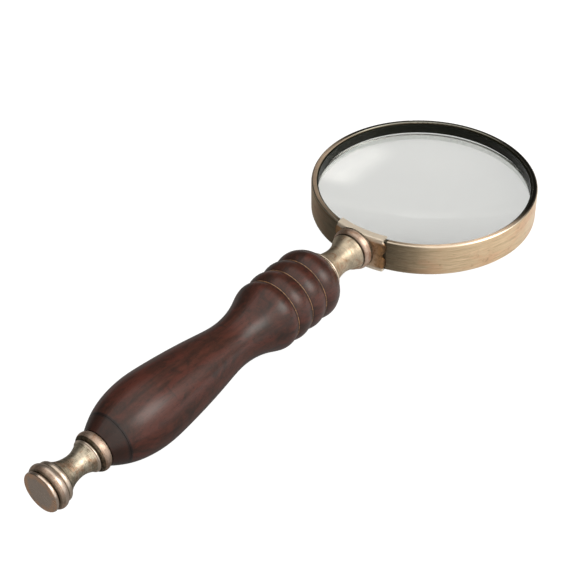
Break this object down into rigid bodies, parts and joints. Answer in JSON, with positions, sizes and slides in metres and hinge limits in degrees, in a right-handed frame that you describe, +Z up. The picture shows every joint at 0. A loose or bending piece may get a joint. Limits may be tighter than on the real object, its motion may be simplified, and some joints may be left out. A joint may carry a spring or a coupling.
{
  "type": "magnifying glass",
  "caption": "Hand-held reading glass: a round biconvex lens in a metal rim on a turned dark-wood handle, with a metal neck and a metal finial that both screw off.",
  "frame": {"origin": "under the middle of the whole object's bounding box, on the table it rests on", "axes": "+Z up, +X level, from the finial towards the lens; +Y completes the right-handed frame. The lens axis leans 3.39 degrees from +Z because the glass lies on its rim's far edge and its foremost wooden bead"},
  "size_m": [0.2376, 0.084, 0.0303],
  "materials": {
    "lens_glass": "polished clear glass",
    "antique_copper": "antique copper plate, bright worn high spots over dark brown patina",
    "black_ring": "satin black",
    "pale_ring": "satin turned aluminium",
    "stud_steel": "plain turned steel",
    "rosewood": "dark reddish-brown, satin lacquer",
    "insert_brass": "plain turned brass"
  },
  "bodies": {
    "head": {"lens": "lens_glass", "rim_band": "antique_copper", "upper_retaining_ring": "black_ring", "lower_retaining_ring": "pale_ring", "saddle_plate": "antique_copper", "clamp_stud": "stud_steel", "neck_collar": "antique_copper", "neck": "antique_copper", "handle_stud": "stud_steel"},
    "ferrule": {"ferrule_ring": "antique_copper"},
    "handle": {"wooden_handle": "rosewood", "front_insert": "insert_brass", "rear_insert": "insert_brass"},
    "finial_washer": {"finial_collar": "antique_copper"},
    "finial_end_piece": {"finial": "antique_copper", "finial_stud": "stud_steel", "end_button": "antique_copper"}
  },
  "joints": [
    {"name": "handle_travel", "type": "slide", "parent": "head", "child": "ferrule", "axis": [-0.9982, 0, 0.0592], "range_m": [0, 0.006]},
    {"name": "handle_unscrew", "type": "hinge", "parent": "ferrule", "child": "handle", "pos_m": [0.01267, 0, 0.01246], "axis": [-0.9982, 0, 0.0592], "range_deg": [0, 2165]},
    {"name": "finial_travel", "type": "slide", "parent": "handle", "child": "finial_washer", "axis": [-0.9982, 0, 0.0592], "range_m": [0, 0.004]},
    {"name": "finial_unscrew", "type": "hinge", "parent": "finial_washer", "child": "finial_end_piece", "pos_m": [-0.09833, 0, 0.01904], "axis": [-0.9982, 0, 0.0592], "range_deg": [0, 1805]}
  ],
  "couplings": [
    {"joint": "handle_unscrew", "follows": "handle_travel", "rad_per_m": 6283.2},
    {"joint": "finial_unscrew", "follows": "finial_travel", "rad_per_m": 7854}
  ]
}
